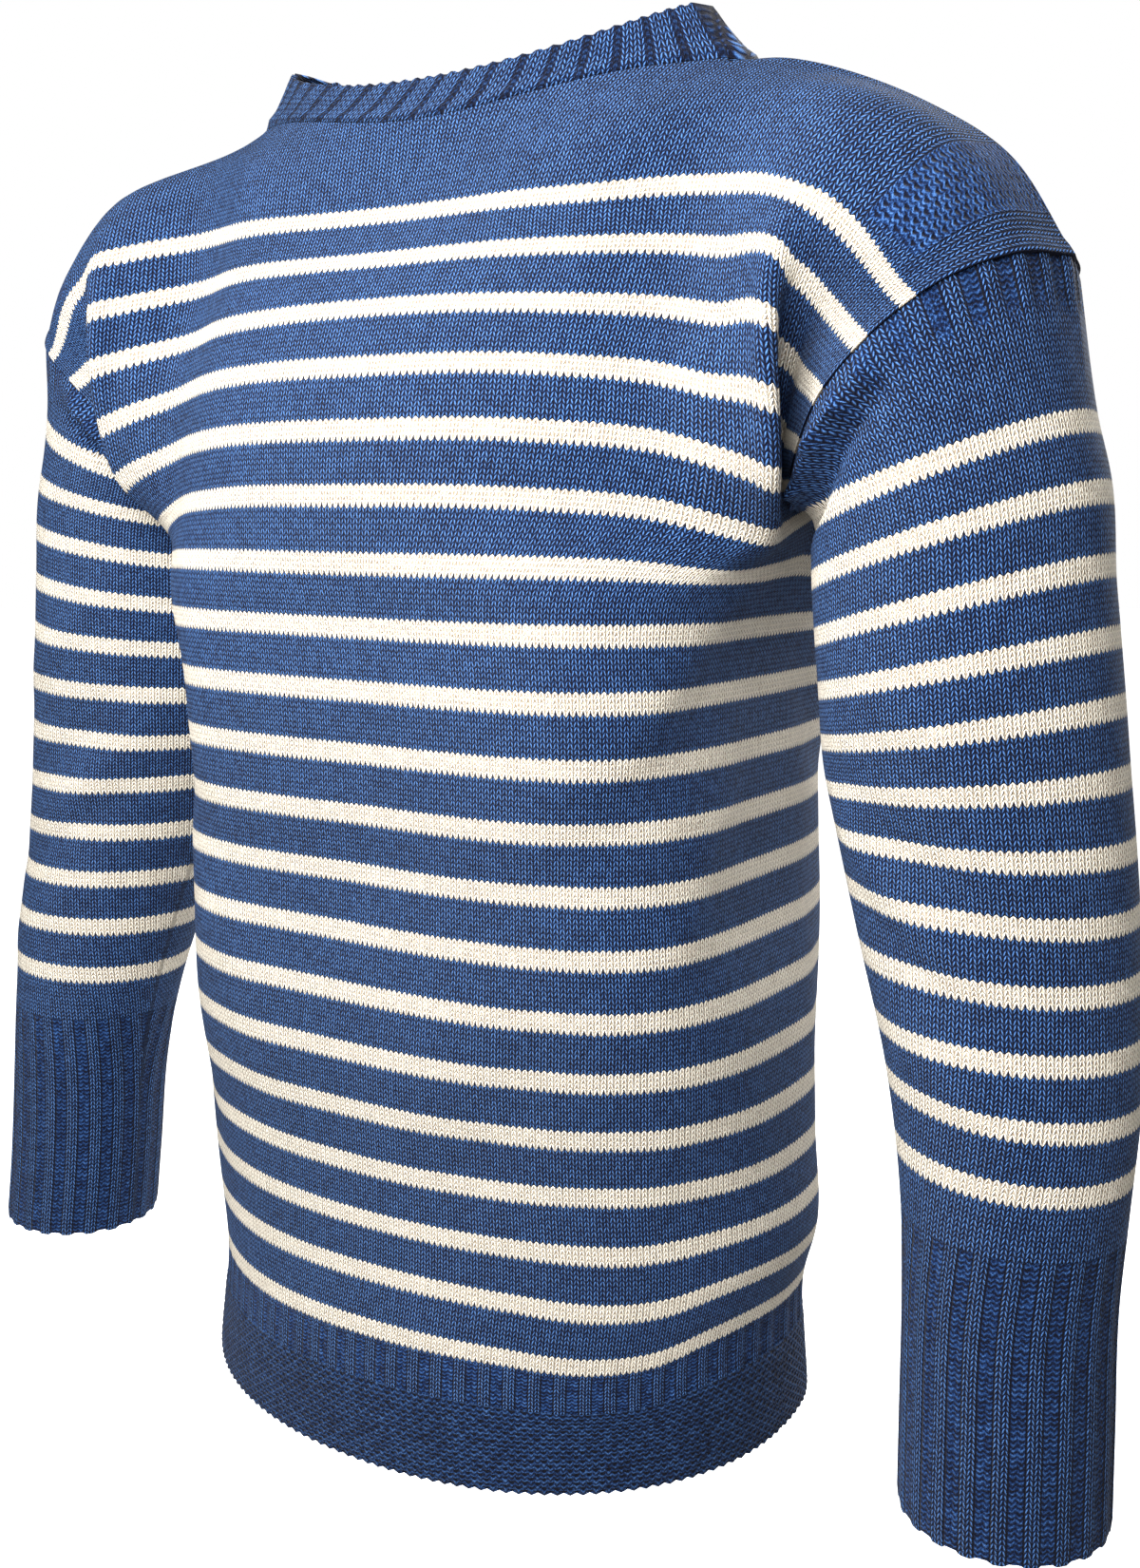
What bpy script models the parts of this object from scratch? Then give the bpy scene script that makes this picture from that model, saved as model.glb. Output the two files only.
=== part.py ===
# A knitted fisherman's sweater, kept in the hollow shape it has when it is worn.
# Metres, +Z up.  +X is the wearer's left, the front faces -Y.
# The origin is on the wearer's shoulders, in the middle of the neck opening.
import math

import bpy
import numpy as np

for old in list(bpy.data.objects):
    bpy.data.objects.remove(old, do_unlink=True)

# ---- sizes of the knitting, counted in rows and stitches ----
HALF_PANEL = 80           # stitches from the middle of a panel to its side edge
NECK_WALES = 36           # stitches from the middle of a panel to the end of the shoulder seam
WALL = 0.0024             # thickness of the knitted cloth
SEAM = 0.0002             # each edge stops this far short of its seam line
TOP_ROW = -36             # shoulder seam, in rows above the first stripe
UNDERARM_ROW = 60         # row at which the two body panels and the sleeve meet
RIB_END_ROW = 241         # end of the ribbed band above the welt
WELT_END_ROW = 260        # lower edge of the welt
HEAD_ROWS = 27            # sleeve rows from the top of the armhole to its first stripe

# ---- yoke: one row of sizes for each knitted row, as the cloth lies over a wearer ----
# "rise" is the share of the way from the first stripe (0) up to the panel's top edge (1).
# Each place is (x, y, z): middle of the panel, breast, dip, armpit fold, hollow, armhole edge.
YOKE_WALES = (0, 28, 43, 58, 68, 80)
FRONT_TOP_ROWS = (-20, -29, -36, -36, -36, -36)
FRONT_YOKE = {
    # row: (middle, breast, dip, fold, hollow, edge)
    "top": ((0, -.057, -.014), (.108, -.029, .000), (.155, .002, .002),
            (.214, .003, -.022), (.248, .004, -.045), (.276, .004, -.086)),
    "half": ((0, -.062, -.035), (.101, -.056, -.025), (.150, -.033, -.018),
             (.208, -.044, -.030), (.240, -.040, -.053), (.266, -.035, -.089)),
    0: ((0, -.070, -.056), (.095, -.070, -.0555), (.143, -.050, -.054),
        (.1946, -.0730, -.065), (.2210, -.0700, -.083), (.2434, -.0630, -.103)),
    12: ((0, -.0835, -.077), (.095, -.0750, -.0765), (.141, -.055, -.078),
         (.1896, -.0795, -.090), (.2030, -.0640, -.103), (.2230, -.0670, -.119)),
    24: ((0, -.0965, -.0985), (.094, -.0860, -.1007), (.140, -.064, -.104),
         (.1875, -.0800, -.117), (.1860, -.0530, -.128), (.2023, -.0630, -.139)),
    36: ((0, -.1071, -.1237), (.093, -.0938, -.1255), (.138, -.0743, -.1305),
         (.1860, -.0750, -.145), (.1760, -.0440, -.153), (.1880, -.0520, -.158)),
    48: ((0, -.1135, -.1505), (.093, -.0984, -.1521), (.138, -.0774, -.1569),
         (.1835, -.0670, -.171), (.1700, -.0340, -.174), (.1765, -.0340, -.173)),
    60: ((0, -.1170, -.1780), (.089, -.1003, -.1795), (.133, -.0790, -.1834),
         (.1740, -.0480, -.194), (.1680, -.0180, -.190), (.1690, .0000, -.184)),
    80: ((0, -.1175, -.2255), (.088, -.1090, -.226), (.128, -.0900, -.228),
         (.1580, -.0500, -.233), (.1590, -.0180, -.231), (.1600, .0180, -.226)),
}
BACK_TOP_ROWS = (-32, -34, -36, -36, -36, -36)
BACK_YOKE = {
    "top": ((0, .054, .004), (.108, .034, .006), (.155, .002, .002),
            (.214, .003, -.022), (.248, .004, -.045), (.276, .004, -.086)),
    "half": ((0, .082, -.022), (.101, .064, -.021), (.150, .038, -.018),
             (.208, .048, -.031), (.240, .045, -.054), (.266, .041, -.090)),
    0: ((0, .101, -.054), (.095, .088, -.0545), (.143, .072, -.056),
        (.1930, .0800, -.067), (.2200, .0740, -.085), (.2434, .0670, -.104)),
    12: ((0, .110, -.079), (.095, .098, -.080), (.141, .080, -.082),
         (.1890, .0890, -.092), (.2040, .0720, -.105), (.2230, .0700, -.120)),
    24: ((0, .117, -.105), (.094, .106, -.106), (.140, .087, -.108),
         (.1860, .0930, -.119), (.1880, .0620, -.130), (.2023, .0650, -.140)),
    36: ((0, .122, -.131), (.093, .112, -.132), (.138, .094, -.135),
         (.1830, .0910, -.147), (.1770, .0530, -.155), (.1880, .0540, -.159)),
    48: ((0, .126, -.157), (.093, .117, -.158), (.138, .099, -.161),
         (.1790, .0850, -.173), (.1700, .0440, -.176), (.1765, .0380, -.174)),
    60: ((0, .129, -.184), (.090, .120, -.185), (.134, .102, -.187),
         (.1720, .0720, -.196), (.1670, .0360, -.193), (.1690, .0006, -.184)),
    80: ((0, .131, -.2265), (.088, .124, -.227), (.130, .106, -.229),
         (.1570, .0780, -.233), (.1620, .0500, -.231), (.1600, .0186, -.226)),
}

# ---- body below the underarm: rounded sections ----
# row: (half width, front depth, front corner, back depth, back corner, lean to the left)
BODY = {
    60: (.1700, .1170, 2.6, .125, 2.6, 0),
    72: (.1600, .1175, 2.9, .123, 2.8, 0),
    84: (.1470, .1150, 3.9, .118, 3.6, .001),
    96: (.1390, .1170, 4.3, .118, 4.2, .005),
    108: (.1380, .1170, 4.3, .118, 4.2, .006),
    120: (.1400, .1160, 4.1, .117, 4.1, .005),
    132: (.1430, .1130, 3.9, .116, 3.9, .003),
    144: (.1460, .1140, 3.55, .117, 3.6, .003),
    156: (.1510, .1170, 3.1, .118, 3.1, .003),
    168: (.1560, .1190, 2.7, .120, 2.7, .002),
    192: (.1620, .1175, 2.25, .122, 2.25, .002),
    216: (.1635, .1230, 2.0, .125, 2.0, .005),
    228: (.1560, .1290, 2.0, .130, 2.0, .006),
    260: (.1580, .1310, 2.1, .131, 2.1, .005),
}
# height of the body's rows: {row: z}; the cloth is a little drawn up above the welt
BODY_HEIGHT = {60: -.1800, 192: -.4796, 204: -.5060, 216: -.5315, 228: -.5560,
               241: -.5788, 260: -.6175}
BACK_FOLDS = 0.0045       # depth of the soft upright folds of the back
BACK_FOLD_WALES = 24      # distance between them, in stitches

# ---- sleeve: its form down the arm ----
# height: (x, y of the middle, half width, half depth)
SLEEVE_FORM = {
    -.1480: (.2310, -.003, .0570, .0590),
    -.1710: (.2355, -.003, .0590, .0600),
    -.2160: (.2390, -.003, .0605, .0600),
    -.2620: (.2440, -.003, .0615, .0590),
    -.2900: (.2470, -.003, .0620, .0580),
    -.3170: (.2520, -.003, .0605, .0570),
    -.3620: (.2605, -.004, .0570, .0555),
    -.4165: (.2720, -.011, .0510, .0515),
    -.4710: (.2780, -.021, .0450, .0455),
    -.5040: (.2795, -.026, .0430, .0430),
    -.5600: (.2820, -.031, .0430, .0415),
    -.6000: (.2840, -.035, .0430, .0415),
}
# where its rows lie, counted from the top of the armhole
# row: (left height, left raised, right height, right raised); "raised" tips the row up outside
SLEEVE_ROWS = {
    27: (-.1710, .0215, -.1550, .0230),
    39: (-.1960, .0195, -.1785, .0150),
    51: (-.2220, .0168, -.2030, .0110),
    63: (-.2470, .0135, -.2285, .0086),
    75: (-.2712, .0107, -.2543, .0065),
    87: (-.2945, .0055, -.2812, .0040),
    99: (-.3175, -.0010, -.3082, .0030),
    111: (-.3420, -.0035, -.3350, -.0010),
    123: (-.3690, -.0030, -.3614, .0000),
    135: (-.3960, -.0025, -.3878, .0010),
    147: (-.4205, -.0045, -.4150, .0020),
    159: (-.4465, -.0030, -.4430, .0025),
    171: (-.4735, -.0020, -.4700, .0015),
    226: (-.5980, .0, -.5980, .0),
}

# ---- neckband ----
BAND_BASE = (.126, .057)                # half width and half depth of the neck opening
BAND_TOP = (.115, -.054, .046)          # half width, front and back of its upper edge
BAND_TOP_Z = (.004, .030, .020)         # height in front, at the sides and behind

GRID_WALES = (0, 5, 10, 15, 21, 28, 32, 36, 43, 50, 55, 58, 61, 65, 68, 72, 76, 80)
YOKE_GRID = ("top", -24, -12, 0, 12, 24, 36, 46, 54, 60)
BODY_GRID = (68, 80, 95, 115, 135, 155, 175, 195, 215, 230, 241)
SLEEVE_GRID = (9, 18, 27, 39, 51, 67, 83, 99, 115, 131, 147, 159, 171)
CUFF_GRID = (171, 185, 200, 213, 226)


def spline(keys, points, t):
    """Smooth curve through the points at the given keys."""
    n = len(keys)
    i = max(0, min(n - 2, int(np.searchsorted(keys, t, side="right")) - 1))
    h = keys[i + 1] - keys[i]
    w = (t - keys[i]) / h

    def slope(j):
        if j == 0:
            return (points[1] - points[0]) / (keys[1] - keys[0])
        if j == n - 1:
            return (points[-1] - points[-2]) / (keys[-1] - keys[-2])
        before = (points[j] - points[j - 1]) / (keys[j] - keys[j - 1])
        after = (points[j + 1] - points[j]) / (keys[j + 1] - keys[j])
        share = (keys[j] - keys[j - 1]) / (keys[j + 1] - keys[j - 1])
        return before * (1 - share) + after * share

    a, b = slope(i) * h, slope(i + 1) * h
    p, q = points[i], points[i + 1]
    return ((2 * w**3 - 3 * w**2 + 1) * p + (w**3 - 2 * w**2 + w) * a
            + (3 * w**2 - 2 * w**3) * q + (w**3 - w**2) * b)


def smooth(edge0, edge1, x):
    w = min(1.0, max(0.0, (x - edge0) / (edge1 - edge0)))
    return w * w * (3 - 2 * w)


def yoke_point(table, top_rows, wales, row):
    """A place on the yoke; `row` is a number, or "top" for the upper edge."""
    side = -1 if wales < 0 else 1
    wales = abs(wales)
    top = float(np.interp(wales, YOKE_WALES, top_rows))
    if row == "top":
        row = top
    elif row < 0:
        row = row / TOP_ROW * top
    keys = np.array([top, top / 2] + [k for k in table if not isinstance(k, str)], float)
    names = ["top", "half"] + [k for k in table if not isinstance(k, str)]
    across = []
    for place in range(len(YOKE_WALES)):
        line = [np.array(table[name][place], float) for name in names]
        across.append(spline(keys, line, row))
    # the mirror image of the first places keeps the middle of the panel level
    keys_u = [-YOKE_WALES[1]] + list(YOKE_WALES)
    across = [across[1] * np.array((-1, 1, 1))] + across
    p = spline(np.array(keys_u, float), across, wales)
    return np.array((p[0] * side, p[1], p[2]))


def section(row):
    """Half of the body's section at a row, from the middle of the front to that of the back."""
    rows = np.array(list(BODY), float)
    sizes = [np.array(v, float) for v in BODY.values()]
    half, front, corner_f, back, corner_b, lean = spline(rows, sizes, row)
    points = []
    for angle in np.linspace(0, math.pi, 181):
        s, c = math.sin(angle), math.cos(angle)
        depth, corner = (front, corner_f) if c > 0 else (back, corner_b)
        x = half * abs(s) ** (2 / corner)
        y = -depth * math.copysign(abs(c) ** (2 / corner), c)
        points.append((x, y))
    points = np.array(points)
    lengths = np.concatenate([[0], np.cumsum(np.hypot(*np.diff(points, axis=0).T))])
    return points, lengths, lean


def body_point(wales, row, is_front):
    points, lengths, lean = section(row)
    middle = len(points) // 2
    if is_front:
        along = abs(wales) / HALF_PANEL * lengths[middle]
    else:
        along = lengths[-1] - abs(wales) / HALF_PANEL * (lengths[-1] - lengths[middle])
    x = float(np.interp(along, lengths, points[:, 0]))
    y = float(np.interp(along, lengths, points[:, 1]))
    if not is_front:
        hang = smooth(70, 130, row) * (1 - (wales / HALF_PANEL) ** 4)
        y += BACK_FOLDS * hang * math.cos(2 * math.pi * wales / BACK_FOLD_WALES)
    z = float(np.interp(row, list(BODY_HEIGHT), list(BODY_HEIGHT.values())))
    return np.array((lean + (math.copysign(x, wales) if wales else 0.0), y, z))


def panel_point(wales, row, is_front):
    """Middle of the cloth of the front or back panel."""
    table, tops = (FRONT_YOKE, FRONT_TOP_ROWS) if is_front else (BACK_YOKE, BACK_TOP_ROWS)
    if row == "top" or row <= UNDERARM_ROW:
        return yoke_point(table, tops, wales, row)
    below = body_point(wales, row, is_front)
    if row >= 80:
        return below
    blend = smooth(UNDERARM_ROW, 80, row)
    return yoke_point(table, tops, wales, row) * (1 - blend) + below * blend


def sleeve_ring(side, row, angle):
    """A place on a sleeve; angle 0 is outside, 90 in front, 180 by the body."""
    rows = np.array(list(SLEEVE_ROWS), float)
    places = [np.array(v, float) for v in SLEEVE_ROWS.values()]
    height = spline(rows, places, row)
    a = math.radians(angle)
    middle, raised = height[:2] if side > 0 else height[2:]
    z = middle + raised * math.cos(a)
    heights = -np.array(list(SLEEVE_FORM))
    sizes = [np.array(v, float) for v in SLEEVE_FORM.values()]
    x, y, width, depth = spline(heights, sizes, -z)
    return np.array((side * (x + width * math.cos(a)), y - depth * math.sin(a), z))


# ---- the mid-surfaces, as grids of points ----
grid_wales = [-w for w in reversed(GRID_WALES[1:])] + list(GRID_WALES)
panel_rows = list(YOKE_GRID) + list(BODY_GRID)
neck = [j for j, w in enumerate(grid_wales) if abs(w) <= NECK_WALES]
grids = {}
for name, is_front in (("front_panel", True), ("back_panel", False)):
    grids[name] = np.array([[panel_point(w, r, is_front) for w in grid_wales] for r in panel_rows])
for name, is_front in (("front_welt", True), ("back_welt", False)):
    rows = (RIB_END_ROW, 251, WELT_END_ROW)
    grids[name] = np.array([[panel_point(w, r, is_front) for w in grid_wales] for r in rows])

# the panels meet on one line at the shoulders and on one line down the sides
front, back = grids["front_panel"], grids["back_panel"]
for j, w in enumerate(grid_wales):
    if abs(w) >= NECK_WALES:
        front[0, j] = back[0, j] = (front[0, j] + back[0, j]) / 2
for grid_f, grid_b, first in ((front, back, len(YOKE_GRID) - 1),
                              (grids["front_welt"], grids["back_welt"], 0)):
    for i in range(first, len(grid_f)):
        for j in (0, -1):
            grid_f[i, j] = grid_b[i, j] = (grid_f[i, j] + grid_b[i, j]) / 2

# sleeves: the first ring is the armhole edge of both panels
head = len(YOKE_GRID)
around = [(k, True) for k in range(head)] + [(k, False) for k in range(head - 2, 0, -1)]
angles = [360 * q / len(around) for q in range(len(around))]
for side, name in ((1, "left"), (-1, "right")):
    column = -1 if side > 0 else 0
    armhole = [(front if is_f else back)[k, column] for k, is_f in around]
    rings = [armhole]
    for row in SLEEVE_GRID:
        ring = [sleeve_ring(side, max(row, HEAD_ROWS), angle) for angle in angles]
        if row < HEAD_ROWS:
            keys = np.array((0, HEAD_ROWS, HEAD_ROWS + 12, HEAD_ROWS + 24), float)
            ring = [spline(keys, [armhole[q]] + [sleeve_ring(side, k, angle) for k in keys[1:]], row)
                    for q, angle in enumerate(angles)]
        rings.append(ring)
    grids["sleeve_" + name] = np.array(rings)
    cuff = [[sleeve_ring(side, row, angle) for angle in angles] for row in CUFF_GRID]
    grids["cuff_" + name] = np.array(cuff)

# neckband: from the neck edge of the two panels to its own upper edge
base = [front[0, j] for j in neck] + [back[0, j] for j in reversed(neck[1:-1])]
rim = []
for p in base:
    angle = math.atan2(p[0] / BAND_BASE[0], -p[1] / BAND_BASE[1])
    s, c = math.sin(angle), math.cos(angle)
    depth = BAND_TOP[1] if c > 0 else -BAND_TOP[2]
    z_end = BAND_TOP_Z[0] if c > 0 else BAND_TOP_Z[2]
    z = BAND_TOP_Z[1] + (z_end - BAND_TOP_Z[1]) * abs(c) ** 1.6
    rim.append(np.array((BAND_TOP[0] * s, depth * c, z)))
base, rim = np.array(base), np.array(rim)
grids["neckband"] = np.array([base * (1 - t) + rim * t for t in (0, .5, 1)])


def normals_of(grid, closed):
    """Outward unit normals of a grid of points (rows down, columns round)."""
    if closed:
        across = np.roll(grid, -1, axis=1) - np.roll(grid, 1, axis=1)
    else:
        across = np.gradient(grid, axis=1)
    down = np.gradient(grid, axis=0)
    n = np.cross(across, down)
    n /= np.linalg.norm(n, axis=2, keepdims=True)
    if closed:
        out = grid - grid.mean(axis=1, keepdims=True)
    else:
        out = grid - np.array((0, 0, -0.3))
        out[:, :, 2] = 0
    if (n * out).sum() < 0:
        n = -n
    return n


closed_pieces = {n for n in grids if n.startswith(("sleeve", "cuff", "neck"))}
normals = {name: normals_of(g, name in closed_pieces) for name, g in grids.items()}


def share(*places):
    """Give several edge points one common normal, so that their walls end on one plane."""
    total = sum(normals[name][i, j] for name, i, j in places)
    total = total / np.linalg.norm(total)
    for name, i, j in places:
        normals[name][i, j] = total


last = len(grid_wales) - 1
for j, w in enumerate(grid_wales):
    if NECK_WALES < abs(w) < HALF_PANEL:
        share(("front_panel", 0, j), ("back_panel", 0, j))
for i in range(head, len(panel_rows)):
    for j in (0, last):
        share(("front_panel", i, j), ("back_panel", i, j))
for i in range(3):
    for j in (0, last):
        share(("front_welt", i, j), ("back_welt", i, j))
for name, column in (("sleeve_left", last), ("sleeve_right", 0)):
    for q, (k, is_f) in enumerate(around):
        places = [(name, 0, q)]
        if k in (0, head - 1):
            places += [("front_panel", k, column), ("back_panel", k, column)]
        else:
            places += [("front_panel" if is_f else "back_panel", k, column)]
        share(*places)
for q, j in enumerate(neck):
    places = [("neckband", 0, q), ("front_panel", 0, j)]
    if j in (neck[0], neck[-1]):
        places.append(("back_panel", 0, j))
    share(*places)
for q, j in enumerate(reversed(neck[1:-1])):
    share(("neckband", 0, len(neck) + q), ("back_panel", 0, j))
for name in ("front", "back"):
    for j in range(last + 1):
        share((name + "_panel", len(panel_rows) - 1, j), (name + "_welt", 0, j))
for name in ("left", "right"):
    for q in range(len(around)):
        share(("sleeve_" + name, len(SLEEVE_GRID), q), ("cuff_" + name, 0, q))


def pull_in(grid, closed):
    """Stop the outer rows and columns of a grid short of their seam lines."""
    result = grid.copy()

    def step(a, b):
        d = b - a
        return SEAM * d / np.linalg.norm(d, axis=-1, keepdims=True)

    result[0] += step(grid[0], grid[1])
    result[-1] += step(grid[-1], grid[-2])
    if not closed:
        result[:, 0] += step(grid[:, 0], grid[:, 1])
        result[:, -1] += step(grid[:, -1], grid[:, -2])
    return result


def split(quad, first):
    """Two triangles from a quad, cut from its corner number 0 or 1 to the opposite one."""
    a, b, c, d = quad if first == 0 else quad[1:] + quad[:1]
    return [(a, b, c), (a, c, d)]


def cloth(name, colour):
    """Turn one grid into a closed wall of even thickness."""
    closed = name in closed_pieces
    grid, normal = pull_in(grids[name], closed), normals[name]
    rows, cols = grid.shape[:2]
    outer = (grid + normal * WALL / 2).reshape(-1, 3)
    inner = (grid - normal * WALL / 2).reshape(-1, 3)
    verts = np.concatenate([outer, inner])
    shift = rows * cols
    span = cols if closed else cols - 1
    triangles = []
    for i in range(rows - 1):
        for j in range(span):
            k = (j + 1) % cols
            face = (i * cols + j, i * cols + k, (i + 1) * cols + k, (i + 1) * cols + j)
            # each quad is cut along its shorter diagonal
            a, b, c, d = verts[list(face)]
            first = 0 if np.linalg.norm(a - c) < np.linalg.norm(b - d) else 1
            triangles += split(face, first)
            triangles += [t[::-1] for t in split(tuple(f + shift for f in face), first)]
    edges = [(i * cols + j, i * cols + (j + 1) % cols, i > 0)
             for i in (0, rows - 1) for j in range(span)]
    if not closed:
        edges += [(i * cols + j, (i + 1) * cols + j, j == 0)
                  for j in (0, cols - 1) for i in range(rows - 1)]
    for a, b, forward in edges:
        # neighbours cut their facing edges in the same way, from the higher outer corner
        height = [verts[v][2] + abs(verts[v][0]) / 3 + verts[v][1] / 5 for v in (a, b)]
        quad = (a, b, b + shift, a + shift)
        cut = split(quad, 0 if height[0] > height[1] else 1)
        triangles += cut if forward else [t[::-1] for t in cut]
    # the sign of the enclosed volume shows which way the faces point
    corners = verts[np.array(triangles)]
    volume = np.einsum("ij,ij->i", corners[:, 0], np.cross(corners[:, 1], corners[:, 2])).sum()
    if volume < 0:
        triangles = [t[::-1] for t in triangles]
    mesh = bpy.data.meshes.new(name)
    mesh.from_pydata([tuple(map(float, v)) for v in verts], [], triangles)
    mesh.update()
    mesh.shade_smooth()
    mesh.set_sharp_from_angle(angle=math.radians(50))
    material = bpy.data.materials.new(name)
    material.use_nodes = True
    shader = material.node_tree.nodes["Principled BSDF"]
    shader.inputs["Base Color"].default_value = colour
    shader.inputs["Roughness"].default_value = 0.9
    shader.inputs["Metallic"].default_value = 0.0
    mesh.materials.append(material)
    obj = bpy.data.objects.new(name, mesh)
    bpy.context.collection.objects.link(obj)
    return obj


STRIPED = (.22, .30, .46, 1)
BLUE = (.045, .115, .33, 1)
for piece in grids:
    striped = piece.endswith("panel") or piece.startswith("sleeve")
    cloth(piece, STRIPED if striped else BLUE)
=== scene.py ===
# A knitted fisherman's sweater with white stripes, in the hollow shape it has when it is worn.
import math

import bpy
import numpy as np
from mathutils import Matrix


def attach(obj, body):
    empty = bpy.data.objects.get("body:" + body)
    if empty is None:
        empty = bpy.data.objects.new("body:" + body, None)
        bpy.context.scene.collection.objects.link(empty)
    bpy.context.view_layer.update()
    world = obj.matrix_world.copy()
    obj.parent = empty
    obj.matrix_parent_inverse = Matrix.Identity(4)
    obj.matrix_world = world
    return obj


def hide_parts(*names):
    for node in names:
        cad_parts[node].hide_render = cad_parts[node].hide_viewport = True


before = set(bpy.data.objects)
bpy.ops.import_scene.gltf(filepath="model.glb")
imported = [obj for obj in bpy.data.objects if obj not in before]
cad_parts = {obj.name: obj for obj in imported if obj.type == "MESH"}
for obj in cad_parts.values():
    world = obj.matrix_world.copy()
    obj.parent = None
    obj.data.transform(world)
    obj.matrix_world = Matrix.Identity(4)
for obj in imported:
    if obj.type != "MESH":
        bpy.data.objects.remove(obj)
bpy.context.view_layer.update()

scene = bpy.context.scene

# ---------------------------------------------------------------- camera, light and floor
# The camera stands in front and to the wearer's left, at chest height, and looks slightly down.
# The light is a bright room, a soft lamp close in front, above the shoulders, and one behind.
camera = bpy.data.objects.new("camera", bpy.data.cameras.new("camera"))
camera.data.lens = 36
camera.data.sensor_width = 33
camera.data.clip_start = 0.05
camera.location = (0.494, -0.6865, -0.18)
camera.rotation_euler = (math.radians(90 - 9.46), 0, math.radians(33.3))
scene.collection.objects.link(camera)
scene.camera = camera
scene.view_settings.view_transform = "Standard"

world = bpy.data.worlds.new("room")
scene.world = world
world.use_nodes = True
room = world.node_tree
for node in list(room.nodes):
    room.nodes.remove(node)
ways = room.nodes.new("ShaderNodeTexCoord")
height = room.nodes.new("ShaderNodeSeparateXYZ")
room.links.new(ways.outputs["Generated"], height.inputs[0])
rising = room.nodes.new("ShaderNodeMapRange")
rising.interpolation_type = "SMOOTHSTEP"
# dim at the height of the garment and below, brighter overhead
for word, value in (("From Min", 0.35), ("From Max", 0.95), ("To Min", 0.08), ("To Max", 0.36)):
    rising.inputs[word].default_value = value
room.links.new(height.outputs["Z"], rising.inputs[0])
# the room is dimmer than the backdrop that shows behind the garment
shown = room.nodes.new("ShaderNodeLightPath")
level = room.nodes.new("ShaderNodeMix")
room.links.new(shown.outputs["Is Camera Ray"], level.inputs[0])
room.links.new(rising.outputs[0], level.inputs[2])
level.inputs[3].default_value = 1.0
sky = room.nodes.new("ShaderNodeBackground")
sky.inputs["Color"].default_value = (1, 1, 1, 1)
room.links.new(level.outputs[0], sky.inputs["Strength"])
room.links.new(sky.outputs[0], room.nodes.new("ShaderNodeOutputWorld").inputs[0])

CHEST = (0.02, 0, -0.12)      # where both lamps point
for name, place, size, power in (
        ("key_lamp", (0.14, -0.76, 0.23), 0.7, 36), ("back_lamp", (0.1, 1.9, 0.4), 1.2, 75)):
    lamp = bpy.data.objects.new(name, bpy.data.lights.new(name, "AREA"))
    lamp.data.size = size
    lamp.data.energy = power
    lamp.location = place
    lamp.visible_camera = False
    aim = np.array(CHEST) - np.array(place)
    lamp.rotation_euler = (math.atan2(math.hypot(aim[0], aim[1]), -aim[2]), 0,
                           math.atan2(-aim[0], aim[1]))
    scene.collection.objects.link(lamp)

FLOOR_SIDES = 48
FLOOR_RADIUS = 12
FLOOR_Z = -0.95
floor_mesh = bpy.data.meshes.new("floor")
turn = np.linspace(0, 2 * math.pi, FLOOR_SIDES + 1)[:-1]
ring = [(FLOOR_RADIUS * math.cos(a), FLOOR_RADIUS * math.sin(a), FLOOR_Z) for a in turn]
floor_mesh.from_pydata(ring, [], [tuple(range(FLOOR_SIDES))])
floor = bpy.data.objects.new("floor", floor_mesh)
floor_look = bpy.data.materials.new("pale_floor")
floor_look.use_nodes = True
pale = floor_look.node_tree
floor_shader = pale.nodes["Principled BSDF"]
floor_shader.inputs["Base Color"].default_value = (.8, .8, .8, 1)
floor_shader.inputs["Roughness"].default_value = 0.9
floor_shader.inputs["Emission Color"].default_value = (1, 1, 1, 1)
# it shows as bright as the backdrop, but lights the garment less
seen = pale.nodes.new("ShaderNodeLightPath")
pale.links.new(seen.outputs["Is Camera Ray"], floor_shader.inputs["Emission Strength"])
floor_mesh.materials.append(floor_look)
scene.collection.objects.link(floor)

# ---------------------------------------------------------------- body panels
# Front and back are flat panels of plain knitting, four white rows in every twelve, joined
# edge to edge down the sides and along the shoulders.  Near each armhole a patch of moss
# stitch runs over the shoulder, and a two-and-two rib ends each panel above the welt.

# places on the cloth are given in stitches (u, to the wearer's left of the middle) and rows
# (v, down from the first stripe)
HALF_PANEL = 80           # stitches from the middle of a panel to its side edge
NECK_WALES = 36           # stitches from the middle of a panel to the end of the shoulder seam
STITCH = 3.1              # millimetres across
ROW = 2.275               # millimetres down
TOP_ROW = -36             # at the shoulder seam
UNDERARM_ROW = 60
YOKE_END_ROW = 80         # below this the body's cross-sections alone give the form
RIB_START_ROW = 230.5
RIB_END_ROW = 241         # where the welt starts
MOSS_WALES = (66.5, 75.5)  # the patch of moss stitch beside each armhole
MOSS_END_ROW = -2.5

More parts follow.
